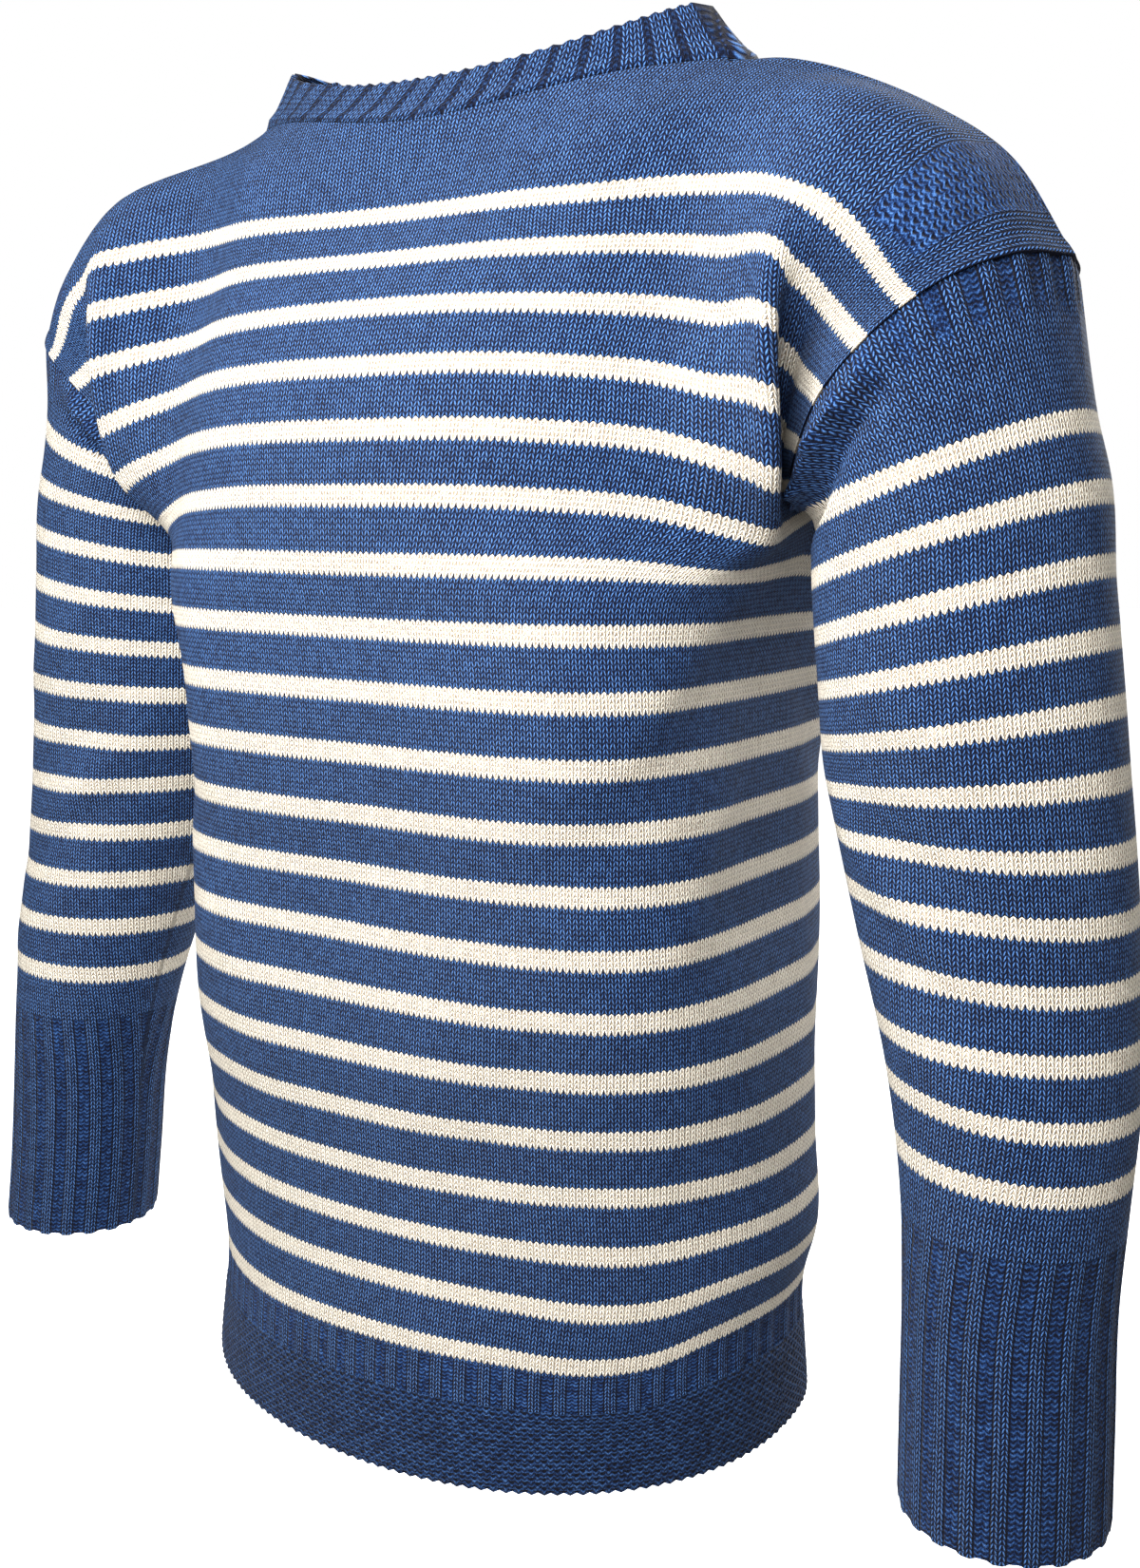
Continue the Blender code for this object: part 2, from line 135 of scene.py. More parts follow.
# the yoke, as places (x, y, z) on some rows, at these stitches from the middle
YOKE_WALES = (0, 28, 43, 58, 68, 80)
FRONT_TOP_ROWS = (-20, -29, -36, -36, -36, -36)
FRONT_YOKE = {
    # row: (middle, breast, dip, fold, hollow, edge)
    "top": ((0, -.057, -.014), (.108, -.029, .000), (.155, .002, .002),
            (.214, .003, -.022), (.248, .004, -.045), (.276, .004, -.086)),
    "half": ((0, -.062, -.035), (.101, -.056, -.025), (.150, -.033, -.018),
             (.208, -.044, -.030), (.240, -.040, -.053), (.266, -.035, -.089)),
    0: ((0, -.070, -.056), (.095, -.070, -.0555), (.143, -.050, -.054),
        (.1946, -.0730, -.065), (.2210, -.0700, -.083), (.2434, -.0630, -.103)),
    12: ((0, -.0835, -.077), (.095, -.0750, -.0765), (.141, -.055, -.078),
         (.1896, -.0795, -.090), (.2030, -.0640, -.103), (.2230, -.0670, -.119)),
    24: ((0, -.0965, -.0985), (.094, -.0860, -.1007), (.140, -.064, -.104),
         (.1875, -.0800, -.117), (.1860, -.0530, -.128), (.2023, -.0630, -.139)),
    36: ((0, -.1071, -.1237), (.093, -.0938, -.1255), (.138, -.0743, -.1305),
         (.1860, -.0750, -.145), (.1760, -.0440, -.153), (.1880, -.0520, -.158)),
    48: ((0, -.1135, -.1505), (.093, -.0984, -.1521), (.138, -.0774, -.1569),
         (.1835, -.0670, -.171), (.1700, -.0340, -.174), (.1765, -.0340, -.173)),
    60: ((0, -.1170, -.1780), (.089, -.1003, -.1795), (.133, -.0790, -.1834),
         (.1740, -.0480, -.194), (.1680, -.0180, -.190), (.1690, .0000, -.184)),
    80: ((0, -.1175, -.2255), (.088, -.1090, -.226), (.128, -.0900, -.228),
         (.1580, -.0500, -.233), (.1590, -.0180, -.231), (.1600, .0180, -.226)),
}
BACK_TOP_ROWS = (-32, -34, -36, -36, -36, -36)
BACK_YOKE = {
    "top": ((0, .054, .004), (.108, .034, .006), (.155, .002, .002),
            (.214, .003, -.022), (.248, .004, -.045), (.276, .004, -.086)),
    "half": ((0, .082, -.022), (.101, .064, -.021), (.150, .038, -.018),
             (.208, .048, -.031), (.240, .045, -.054), (.266, .041, -.090)),
    0: ((0, .101, -.054), (.095, .088, -.0545), (.143, .072, -.056),
        (.1930, .0800, -.067), (.2200, .0740, -.085), (.2434, .0670, -.104)),
    12: ((0, .110, -.079), (.095, .098, -.080), (.141, .080, -.082),
         (.1890, .0890, -.092), (.2040, .0720, -.105), (.2230, .0700, -.120)),
    24: ((0, .117, -.105), (.094, .106, -.106), (.140, .087, -.108),
         (.1860, .0930, -.119), (.1880, .0620, -.130), (.2023, .0650, -.140)),
    36: ((0, .122, -.131), (.093, .112, -.132), (.138, .094, -.135),
         (.1830, .0910, -.147), (.1770, .0530, -.155), (.1880, .0540, -.159)),
    48: ((0, .126, -.157), (.093, .117, -.158), (.138, .099, -.161),
         (.1790, .0850, -.173), (.1700, .0440, -.176), (.1765, .0380, -.174)),
    60: ((0, .129, -.184), (.090, .120, -.185), (.134, .102, -.187),
         (.1720, .0720, -.196), (.1670, .0360, -.193), (.1690, .0006, -.184)),
    80: ((0, .131, -.2265), (.088, .124, -.227), (.130, .106, -.229),
         (.1570, .0780, -.233), (.1620, .0500, -.231), (.1600, .0186, -.226)),
}
# body below the underarm
# row: (half width, front depth, front corner, back depth, back corner, lean to the left)
BODY = {
    60: (.1700, .1170, 2.6, .125, 2.6, 0),
    72: (.1600, .1175, 2.9, .123, 2.8, 0),
    84: (.1470, .1150, 3.9, .118, 3.6, .001),
    96: (.1390, .1170, 4.3, .118, 4.2, .005),
    108: (.1380, .1170, 4.3, .118, 4.2, .006),
    120: (.1400, .1160, 4.1, .117, 4.1, .005),
    132: (.1430, .1130, 3.9, .116, 3.9, .003),
    144: (.1460, .1140, 3.55, .117, 3.6, .003),
    156: (.1510, .1170, 3.1, .118, 3.1, .003),
    168: (.1560, .1190, 2.7, .120, 2.7, .002),
    192: (.1620, .1175, 2.25, .122, 2.25, .002),
    216: (.1635, .1230, 2.0, .125, 2.0, .005),
    228: (.1560, .1290, 2.0, .130, 2.0, .006),
    260: (.1580, .1310, 2.1, .131, 2.1, .005),
}
BODY_HEIGHT = {60: -.1800, 192: -.4796, 204: -.5060, 216: -.5315, 228: -.5560,
               241: -.5788, 260: -.6175}
OUTLINE_POINTS = 1441     # of half a cross-section, front to back
BACK_WAVE = 0.0045        # depth of the soft upright waves of the back
BACK_WAVE_WALES = 24      # distance between them, in stitches
# the last stripes ride up between the corners of the body; stitch: metres up
HITCH = {-80: 0, -56: .001, -30: .002, 8: .0045, 26: .002, 42: -.0028, 52: -.002, 62: .004,
         72: .0065, 80: .006}


def through(keys, values, at):
    """Smooth curves through the values at the given keys, worked out at each place in `at`."""
    keys, at = np.asarray(keys, float), np.asarray(at, float)
    values = np.asarray(values, float).reshape(len(keys), -1)
    step = np.diff(keys)
    rise = np.diff(values, axis=0) / step[:, None]
    share = (step[:-1] / (step[:-1] + step[1:]))[:, None]
    slope = np.concatenate([rise[:1], rise[:-1] * (1 - share) + rise[1:] * share, rise[-1:]])
    i = np.clip(np.searchsorted(keys, at, side="right") - 1, 0, len(keys) - 2)
    h = step[i][:, None]
    w = ((at - keys[i]) / step[i])[:, None]
    return ((2 * w**3 - 3 * w**2 + 1) * values[i] + (w**3 - 2 * w**2 + w) * slope[i] * h
            + (3 * w**2 - 2 * w**3) * values[i + 1] + (w**3 - w**2) * slope[i + 1] * h)


def smooth(start, end, x):
    """0 below `start`, 1 above `end`, with an easy rise between them."""
    w = np.clip((x - start) / (end - start), 0, 1)
    return w * w * (3 - 2 * w)


def body_row(wales, row, is_front):
    """One row of the body below the underarm."""
    shape = through(list(BODY), list(BODY.values()), [row])[0]
    half, front, corner_f, back, corner_b, lean = shape
    angle = np.linspace(0, math.pi, OUTLINE_POINTS)
    s, c = np.sin(angle), np.cos(angle)
    corner, depth = np.where(c > 0, corner_f, corner_b), np.where(c > 0, front, back)
    x = half * np.abs(s) ** (2 / corner)
    y = -depth * np.sign(c) * np.abs(c) ** (2 / corner)
    lengths = np.concatenate([[0], np.cumsum(np.hypot(np.diff(x), np.diff(y)))])
    middle, whole = lengths[len(lengths) // 2], lengths[-1]
    share = np.abs(wales) / HALF_PANEL
    along = share * middle if is_front else whole - share * (whole - middle)
    px, py = np.interp(along, lengths, x), np.interp(along, lengths, y)
    if not is_front:
        hang = smooth(70, 130, row) * (1 - (wales / HALF_PANEL) ** 4)
        py = py + BACK_WAVE * hang * np.cos(2 * math.pi * wales / BACK_WAVE_WALES)
    z = through(list(BODY_HEIGHT), list(BODY_HEIGHT.values()), [row])[0, 0]
    hitch = through(list(HITCH), list(HITCH.values()), wales if is_front else
                    np.where(wales > 0, HALF_PANEL, -HALF_PANEL))[:, 0]
    if not is_front:
        hitch = hitch * smooth(30, 80, wales)
    z = z + hitch * smooth(190, 225, row) * (1 - smooth(234, 252, row))
    return np.stack([lean + np.sign(wales) * px, py, z], axis=1)


def panel(wales, rows, is_front):
    """The middle of a panel's cloth, row by row, and the row number of each point."""
    table, tops = (FRONT_YOKE, FRONT_TOP_ROWS) if is_front else (BACK_YOKE, BACK_TOP_ROWS)
    numbered = [k for k in table if not isinstance(k, str)]
    places = np.array([table[k] for k in ["top", "half"] + numbered], float)
    yoke = np.zeros((len(rows), len(wales), 3))
    numbers = np.zeros((len(rows), len(wales)))
    for j, w in enumerate(wales):
        top = np.interp(abs(w), YOKE_WALES, tops)
        numbers[:, j] = np.where(rows < 0, rows / TOP_ROW * top, rows)
        at = np.minimum(numbers[:, j], YOKE_END_ROW)
        down = through([top, top / 2] + numbered, places, at)
        down = down.reshape(-1, len(YOKE_WALES), 3)
        mirrored = down[:, 1:2] * (-1, 1, 1)
        across = np.concatenate([mirrored, down], axis=1).transpose(1, 0, 2)
        point = through([-YOKE_WALES[1]] + list(YOKE_WALES), across, [abs(w)]).reshape(-1, 3)
        yoke[:, j] = point * (-1 if w < 0 else 1, 1, 1)
    low = np.array([body_row(wales, max(r, UNDERARM_ROW), is_front) for r in rows])
    blend = smooth(UNDERARM_ROW, YOKE_END_ROW, rows)[:, None, None]
    return yoke * (1 - blend) + low * blend, numbers


def creases(u, v, folds):
    """How far the cloth stands out (millimetres) over soft folds, each a line on the cloth:
    (stitch, row, stitch, row, width mm, height mm, bow mm)."""
    x, y = u * STITCH, v * ROW
    total = np.zeros_like(x)
    for u0, v0, u1, v1, width, height, bow in folds:
        ax, ay = u0 * STITCH, v0 * ROW
        dx, dy = u1 * STITCH - ax, v1 * ROW - ay
        length = math.hypot(dx, dy)
        t = ((x - ax) * dx + (y - ay) * dy) / length**2
        off = ((x - ax) * dy - (y - ay) * dx) / length - bow * 4 * t * (1 - t)
        inside = np.sin(math.pi * np.clip(t, 0, 1))
        total += height * inside * np.exp(-(off / width) ** 2)
    return total


def body_folds(u, v, folds):
    """The folds die out at a panel's side edges, where it is sewn to the next piece."""
    return creases(u, v, folds) * (1 - smooth(70, 79, np.abs(u)))


def drawn(u, v):
    """Row numbers of the yoke, as the cloth is drawn up into the fold beside the left armpit
    and down along each armhole."""
    side = np.abs(u)
    up = np.interp(v, (-20, 0, 12, 24, 36, 48), (0, -.5, 2.2, 2.8, 1.6, 0))
    down = np.interp(v, (-36, -15, 0, 12, 24, 36), (0, 2.0, 4.0, 1.6, .5, 0))
    return (v + up * smooth(47, 56, u) * (1 - smooth(57.5, 61, side))
            - down * smooth(62, 80, side))


def pair(u, spread=0.5):
    """1 on the raised pairs of stitches of a two-and-two rib, 0 between them; the pairs draw
    closer together as `spread` grows."""
    return np.clip(np.sin(math.pi / 2 * u) * 1.6 + spread, 0, 1)


def meet_at_sides(one, other, first):
    """Front and back share one line down each side, from their row `first` to the last."""
    shared = (one[first:, [0, -1]] + other[first:, [0, -1]]) / 2
    one[first:, [0, -1]] = other[first:, [0, -1]] = shared


class Value:
    """A number or colour inside a material, so that its sums read like ordinary ones."""

    def __init__(self, look, socket):
        self.look, self.socket = look, socket

    def math(self, operation, *others):
        return self.look.node("ShaderNodeMath", {"operation": operation}, (self, *others))

    def __add__(self, other):
        return self.math("ADD", other)

    def __sub__(self, other):
        return self.math("SUBTRACT", other)

    def __rsub__(self, other):
        return self.math("MULTIPLY_ADD", -1.0, other)

    def __mul__(self, other):
        return self.math("MULTIPLY", other)

    def __truediv__(self, other):
        return self.math("DIVIDE", other)

    __radd__, __rmul__ = __add__, __mul__


class Look:
    """A material with one principled shader, and the means to add nodes to it."""

    def __init__(self, name):
        self.material = bpy.data.materials.new(name)
        self.material.use_nodes = True
        self.tree = self.material.node_tree
        self.shader = self.tree.nodes["Principled BSDF"]

    def node(self, kind, settings=None, inputs=(), output=0):
        made = self.tree.nodes.new(kind)
        for word, value in (settings or {}).items():
            if word == "stops":
                self.set_stops(made.color_ramp.elements, value)
            else:
                setattr(made, word, value)
        items = inputs.items() if isinstance(inputs, dict) else enumerate(inputs)
        for key, value in items:
            self.plug(made.inputs[key], value)
        return Value(self, made.outputs[output])

    def plug(self, socket, value):
        if isinstance(value, Value):
            self.tree.links.new(value.socket, socket)
        else:
            socket.default_value = value

    def mix(self, factor, a, b, blend="MIX"):
        a, b = (x if isinstance(x, Value) else (*x, 1) for x in (a, b))
        return self.node("ShaderNodeMix", {"data_type": "RGBA", "blend_type": blend},
                         {0: factor, 6: a, 7: b}, output=2)

    def set_stops(self, elements, stops):
        for k, (place, colour) in enumerate(stops):
            element = elements[k] if k < 2 else elements.new(place)
            element.position, element.color = place, (*colour, 1)

    def ramp(self, value, places, colours):
        """A colour that follows `value` through stops at the given places."""
        stops = list(zip(places, colours))
        return self.node("ShaderNodeValToRGB", {"stops": stops}, (value,))


# the yarn is hard-twisted worsted wool, denim blue heathered with pale fibres, and undyed white;
# each colour goes from painted shade in the gaps between stitches to painted highlight on the
# tops of the strands
BLUE_SHADE_TO_HIGHLIGHT = ((.0004, .0015, .010), (.0030, .015, .062), (.0162, .054, .165), (.066, .164, .392))
WHITE_SHADE_TO_HIGHLIGHT = ((.20, .15, .10), (.62, .54, .42), (.80, .745, .64), (.88, .835, .74))
LEAN = 0.55               # rows by which a stitch's strands fall from its middle to its sides
STRIPE_ROWS = 12          # rows from one white stripe to the next
WHITE_SHARE = 1 / 3       # how much of that is white
BUMP_DEPTH = 0.0012       # height of a stitch for the light to catch, in metres


def knit(name, stripes=None, shade=1.0, spread=0.2, crisp=2.4, shadow=0.25):
    """The look of knitting.  A stitch shows as two plump strands that meet at the top, with
    painted shade in the gaps between stitches and painted highlight on the tops of the strands.
    `stripes` is (row of the first white stripe, row of the last).  A rib's sunk stitches get
    narrower as
    `spread` grows, have hard sides with a larger `crisp`, and are darkened by `shadow`, a painted
    shadow.  `shade` darkens the whole piece with a painted shade."""
    look = Look(name)
    map_ = look.node("ShaderNodeUVMap", {"uv_map": "stitches"})
    u = look.node("ShaderNodeSeparateXYZ", None, (map_,), output=0)
    v = look.node("ShaderNodeSeparateXYZ", None, (map_,), output=1)
    here = look.node("ShaderNodeTexCoord", output="Object")
    rib = look.node("ShaderNodeAttribute", {"attribute_name": "rib"}, output="Fac")
    moss = look.node("ShaderNodeAttribute", {"attribute_name": "moss"}, output="Fac")

    def noise(scale, detail=2.0):
        return look.node("ShaderNodeTexNoise", None,
                         {"Vector": here, "Scale": scale, "Detail": detail}, output="Fac")

    uneven = noise(260.0)
    fibres = noise(1500.0, 3.0)
    # plain stitches: a strand each side of the wale, falling outwards
    a = (u.math("FRACT") - 0.5).math("ABSOLUTE") * 2
    p = v - a * LEAN + (uneven - 0.5) * 0.35
    t = p.math("FRACT")
    off = (a - (t * 0.40 + 0.30)) / 0.40
    strand = (1 - off * off).math("MAXIMUM", 0.0)
    end = (t * 2 - 1) * (t * 2 - 1)
    plain = strand * (1 - end * 0.8)
    # purl stitches: wavy bumps across the row
    wave = (u * (2 * math.pi)).math("COSINE") * 0.22 + v + (uneven - 0.5) * 0.8
    beads = 0.65 + (u * math.pi).math("SINE").math("ABSOLUTE") * 0.35
    bumps = ((wave * (2 * math.pi)).math("COSINE") * 0.5 + 0.5) * beads
    raised = ((u * (math.pi / 2)).math("SINE") + spread) * crisp
    raised = raised.math("MAXIMUM", 0.0).math("MINIMUM", 1.0)
    sunk = (1 - raised) * rib
    # the sides of each raised pair fall away in shadow
    high = plain * (1 - sunk) + (bumps * 0.42 + 0.22) * sunk - raised * (1 - raised) * rib * 1.6
    # moss stitch: a net of bumps round small holes, painted dark as shade
    hole = ((u * math.pi).math("SINE") * (v * math.pi).math("SINE")).math("MAXIMUM", 0.0)
    high = high * (1 - moss) + (bumps * 0.46 + 0.30 - hole * hole * 0.60) * moss
    # each stitch a little lighter or darker, pale fibres, and slow changes over the cloth
    cell = look.node("ShaderNodeCombineXYZ", None, (u.math("FLOOR"), p.math("FLOOR"), 0.0))
    odd = look.node("ShaderNodeTexWhiteNoise", {"noise_dimensions": "2D"}, {"Vector": cell})
    tone = high + (odd - 0.5) * 0.20 + (fibres - 0.5) * 1.1
    # the stitches' height is painted into the colour: painted shade low down, painted highlight on
    # top
    colour = look.ramp(tone, (0.20, 0.42, 0.64, 0.93), BLUE_SHADE_TO_HIGHLIGHT)
    if stripes:
        first, last = stripes

        def white_at(row):
            along = (row - (first - 2)) / STRIPE_ROWS
            return along.math("FRACT").math("LESS_THAN", WHITE_SHARE)

        # the blue of the next row shows as a spike in the middle of each last white stitch
        spike = (1 - a / 0.35).math("MAXIMUM", 0.0) * 0.65 + p
        in_stripe = white_at(p) * white_at(spike)
        in_range = p.math("GREATER_THAN", first - 3.0) * p.math("LESS_THAN", last + 3.0)
        white_tone = high + 0.08 + (fibres - 0.5) * 0.5 + (odd - 0.5) * 0.1
        # the white too: painted shade in its gaps, painted highlight on its strands
        white = look.ramp(white_tone, (0.05, 0.28, 0.60, 1.0), WHITE_SHADE_TO_HIGHLIGHT)
        colour = look.mix(in_stripe * in_range, colour, white)
    # gentle random changes over the cloth, times `shade`, a painted shade that darkens the whole
    # piece
    mottle_and_piece_shade = noise(14.0) * 0.24 + 0.88 * shade
    # painted shadow in the rib's sunk stitches and painted shade over the moss stitch
    mottle_and_painted_shade = mottle_and_piece_shade * (1 - sunk * shadow) * (1 - moss * 0.1)
    mottle_and_shade_grey = look.node("ShaderNodeCombineColor", None, (mottle_and_painted_shade, mottle_and_painted_shade, mottle_and_painted_shade))
    colour = look.mix(1.0, colour, mottle_and_shade_grey, "MULTIPLY")
    look.plug(look.shader.inputs["Base Color"], colour)
    look.shader.inputs["Roughness"].default_value = 0.88
    look.shader.inputs["Specular IOR Level"].default_value = 0.12
    look.shader.inputs["Sheen Weight"].default_value = 0.03
    look.shader.inputs["Sheen Roughness"].default_value = 0.45
    bump = look.node("ShaderNodeBump", None,
                     {"Height": high + (fibres - 0.5) * 0.35, "Distance": BUMP_DEPTH}, output=0)
    look.plug(look.shader.inputs["Normal"], bump)
    return look.material


grids = {}                # the middle of each piece's cloth: rows of points
waiting = []              # the pieces whose walls are filled in when all of them are there


def cloth(name, u, v, material, fold=0, relief=0, drop=0, **marks):
    """A piece of knitting.  `fold` moves the cloth and `relief` only its face, in millimetres, and
    `drop` lowers it, in metres; `marks` are kept on the mesh for the material to read.  The mesh
    is filled at the end, because pieces that meet share the direction of their edge."""
    mesh = bpy.data.meshes.new(name + "_knit")
    mesh.materials.append(material)
    piece = bpy.data.objects.new(name + "_knit", mesh)
    scene.collection.objects.link(piece)
    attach(piece, "root")
    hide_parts(name)
    waiting.append((name, mesh, u, v, fold, relief, drop, marks))
    return piece


panel_look = knit("striped_body", stripes=(0, 228), shadow=.12)
FRONT_FOLDS = (
    (57, 2, 57, 66, 7, 4.5, 0), (62.5, 4, 62.5, 64, 8, -6.0, 0),
    (-57, -12, -57, 66, 7, 5.0, 0), (-62.5, -10, -62.5, 64, 8, -6.0, 0),
    (74, 66, 34, 118, 16, 2.2, 6), (70, 82, 18, 150, 20, -2.4, 8),
    (76, 104, 36, 168, 18, 2.0, 6),
    (-74, 66, -44, 110, 14, 2.0, -5), (-72, 84, -26, 140, 18, -2.2, -6),
    (10, 96, -22, 170, 26, -1.4, 10), (44, 140, 12, 204, 22, -1.8, 6),
    (58, 150, 40, 226, 18, 1.6, 4),
    (-40, 130, -12, 196, 24, 1.8, 8), (-62, 140, -40, 214, 18, -1.8, -4),
    (30, -24, 22, 30, 22, -1.0, 4), (-34, -26, -20, 20, 20, 1.0, 5),
)
BACK_FOLDS = (
    (72, 66, 36, 124, 16, 2.2, 6), (68, 86, 20, 152, 20, -2.6, 8),
    (-72, 66, -38, 122, 16, 2.0, -6),
    (-68, 88, -22, 158, 19, -2.4, -7), (14, -26, 6, 40, 24, -1.4, 5),
    (-20, 30, 12, 80, 26, 1.6, 8),
    (40, 150, 24, 220, 20, 1.8, 5), (-46, 144, -30, 222, 20, -1.8, -5),
)
wales = np.linspace(-HALF_PANEL, HALF_PANEL, 4 * HALF_PANEL + 1)
panel_rows = np.append(np.arange(TOP_ROW, RIB_END_ROW, 2.0), RIB_END_ROW)
u = np.repeat(wales[None, :], len(panel_rows), axis=0)
for word, folds in (("front", FRONT_FOLDS), ("back", BACK_FOLDS)):
    name = word + "_panel"
    grids[name], v = panel(wales, panel_rows, word == "front")
    rib = smooth(RIB_START_ROW - 1, RIB_START_ROW + 1, v)
    beside_armhole = (np.abs(u) > MOSS_WALES[0]) & (np.abs(u) < MOSS_WALES[1])
    moss = (beside_armhole & (v < MOSS_END_ROW)).astype(float)
    relief = -0.8 * rib * (1 - pair(u))
    relief += 0.2 * moss * np.sin(math.pi * u) * np.sin(math.pi * v)
    # the panel's edge stands up as a chain along the armhole
    at_armhole = v <= UNDERARM_ROW + 1
    relief += np.where(at_armhole, 0.7 * smooth(77.8, 79.2, np.abs(u)), 0)
    if word == "front":
        v = drawn(u, v)
    piece = cloth(name, u, v, panel_look, fold=body_folds(u, v, folds), relief=relief,
                  rib=rib, moss=moss)

# the panels meet on one line at the shoulders and on one line down the sides
front, back = grids["front_panel"], grids["back_panel"]
shoulder = np.abs(wales) >= NECK_WALES
front[0, shoulder] = back[0, shoulder] = (front[0, shoulder] + back[0, shoulder]) / 2
armhole_end = int(np.flatnonzero(panel_rows == UNDERARM_ROW)[0])
meet_at_sides(front, back, armhole_end)

# ---------------------------------------------------------------- welts
# The split welt along the hem: a separate band of moss stitch under each panel, firm and
# slightly thicker than the body, with a knobbly lower edge.
WELT_END_ROW = 260
# the welt gets a strong painted shade over the whole piece, for the shade in its bumpy moss stitch
welt_look = knit("welt_moss", shade=.52)
welt_rows = np.arange(RIB_END_ROW, WELT_END_ROW + 0.1, 0.5)
u = np.repeat(wales[None, :], len(welt_rows), axis=0)
for word, folds in (("front", FRONT_FOLDS), ("back", BACK_FOLDS)):
    name = word + "_welt"
    grids[name], v = panel(wales, welt_rows, word == "front")
    seeds = np.sin(math.pi * u) * np.sin(math.pi * v)
    firm = smooth(RIB_END_ROW, RIB_END_ROW + 1.5, v)
    hem = smooth(WELT_END_ROW - 1.5, WELT_END_ROW, v)
    relief = firm * (0.3 - 0.3 * seeds) - 0.6 * hem * (1 + 0.5 * seeds)
    piece = cloth(name, u, v, welt_look, fold=body_folds(u, v, folds), relief=relief,
                  drop=0.0007 * hem * np.sin(math.pi * u), rib=0, moss=1)
meet_at_sides(grids["front_welt"], grids["back_welt"], 0)

# ---------------------------------------------------------------- sleeves
# Tubes of striped plain knitting, taken in towards the wrist.  The head starts with a few
# rows of two-and-two rib at the armhole, and the cloth bunches under the arm.
HEAD_ROWS = 27            # rows of the sleeve's head, down to its first white stripe
CUFF_ROW = 171            # the last row, where the cuff starts
SLEEVE_STITCH = 3.2       # millimetres across
RIB_REACH = 118           # degrees from the outside of the arm to the end of the head's rib
# by height: (x, y of the middle, half width, half depth)
SLEEVE_FORM = {
    -.1480: (.2310, -.003, .0570, .0590),
    -.1710: (.2355, -.003, .0590, .0600),
    -.2160: (.2390, -.003, .0605, .0600),
    -.2620: (.2440, -.003, .0615, .0590),
    -.2900: (.2470, -.003, .0620, .0580),
    -.3170: (.2520, -.003, .0605, .0570),
    -.3620: (.2605, -.004, .0570, .0555),
    -.4165: (.2720, -.011, .0510, .0515),
    -.4710: (.2780, -.021, .0450, .0455),
    -.5040: (.2795, -.026, .0430, .0430),
    -.5600: (.2820, -.031, .0430, .0415),
    -.6000: (.2840, -.035, .0430, .0415),
}
# by row: (left height, left raised, right height, right raised)
SLEEVE_ROWS = {
    27: (-.1710, .0215, -.1550, .0230),
    39: (-.1960, .0195, -.1785, .0150),
    51: (-.2220, .0168, -.2030, .0110),
    63: (-.2470, .0135, -.2285, .0086),
    75: (-.2712, .0107, -.2543, .0065),
    87: (-.2945, .0055, -.2812, .0040),
    99: (-.3175, -.0010, -.3082, .0030),
    111: (-.3420, -.0035, -.3350, -.0010),
    123: (-.3690, -.0030, -.3614, .0000),
    135: (-.3960, -.0025, -.3878, .0010),
    147: (-.4205, -.0045, -.4150, .0020),
    159: (-.4465, -.0030, -.4430, .0025),
    171: (-.4735, -.0020, -.4700, .0015),
    226: (-.5980, .0, -.5980, .0),
}
# the row of the armhole edge that each 20 degrees round the sleeve meets
ARMHOLE_ROWS = (-36, -24, -12, 0, 12, 24, 36, 46, 54, 60)
# folds of the cloth, counted from the outside of the arm
SLEEVE_FOLDS = (
    (44, 52, 12, 92, 12, 2.0, 6), (50, 70, 16, 118, 12, -2.4, 6), (48, 92, 20, 126, 10, 2.2, 4),
    (46, 110, 10, 136, 10, -2.0, 3), (40, 128, 8, 160, 12, 1.6, 3),
    (-46, 50, -14, 88, 12, 2.0, -6), (-48, 78, -18, 118, 12, -2.2, -5),
    (-44, 104, -14, 134, 10, 1.8, -3),
    (24, 18, 4, 56, 16, -1.4, 4), (-20, 20, -6, 60, 16, -1.2, -4),
)


def sleeve_ring(side, row, angle):
    """One row of a sleeve; angle 0 is outside, 90 in front, 180 by the body."""
    height = through(list(SLEEVE_ROWS), list(SLEEVE_ROWS.values()), [row])[0]
    middle, raised = height[:2] if side > 0 else height[2:]
    a = np.radians(angle)
    z = middle + raised * np.cos(a)
    x, y, width, depth = through([-k for k in SLEEVE_FORM], list(SLEEVE_FORM.values()), -z).T
    return np.stack([side * (x + width * np.cos(a)), y - depth * np.sin(a), z], axis=1)


def between(line, count):
    """A line of points with one more set halfway between each two."""
    result = np.empty((count, line.shape[1]))
    result[::2] = line
    result[1::2] = (line[1:] + line[:-1]) / 2
    return result


def around_armhole(front_line, back_line):
    """A line round the armhole, down the front panel's edge and up the back's."""
    one, other = between(front_line, len(edge_rows)), between(back_line, len(edge_rows))
    return np.concatenate([one, other[-2:0:-1]])


def whole_ring(side, rows):
    """Stitch numbers round a tube, counted from the outside of the arm, forwards in front and
    backwards behind.  The count jumps at the underarm, which has a column for each side of it,
    so there is one column more than the tube has points."""
    grid = np.array([sleeve_ring(side, max(r, HEAD_ROWS), ring_angle) for r in rows])
    steps = np.linalg.norm(np.roll(grid, -1, axis=1) - grid, axis=2)
    along = np.concatenate([np.zeros((len(rows), 1)), np.cumsum(steps, axis=1)], axis=1)
    front_u, back_u = along[:, :half_ring], along[:, half_ring:] - along[:, -1:]
    return np.concatenate([front_u, back_u], axis=1) * 1000 / SLEEVE_STITCH


def closed_round(values):
    """The same numbers with the first column again at the end."""
    return np.concatenate([values, values[:, :1]], axis=1)


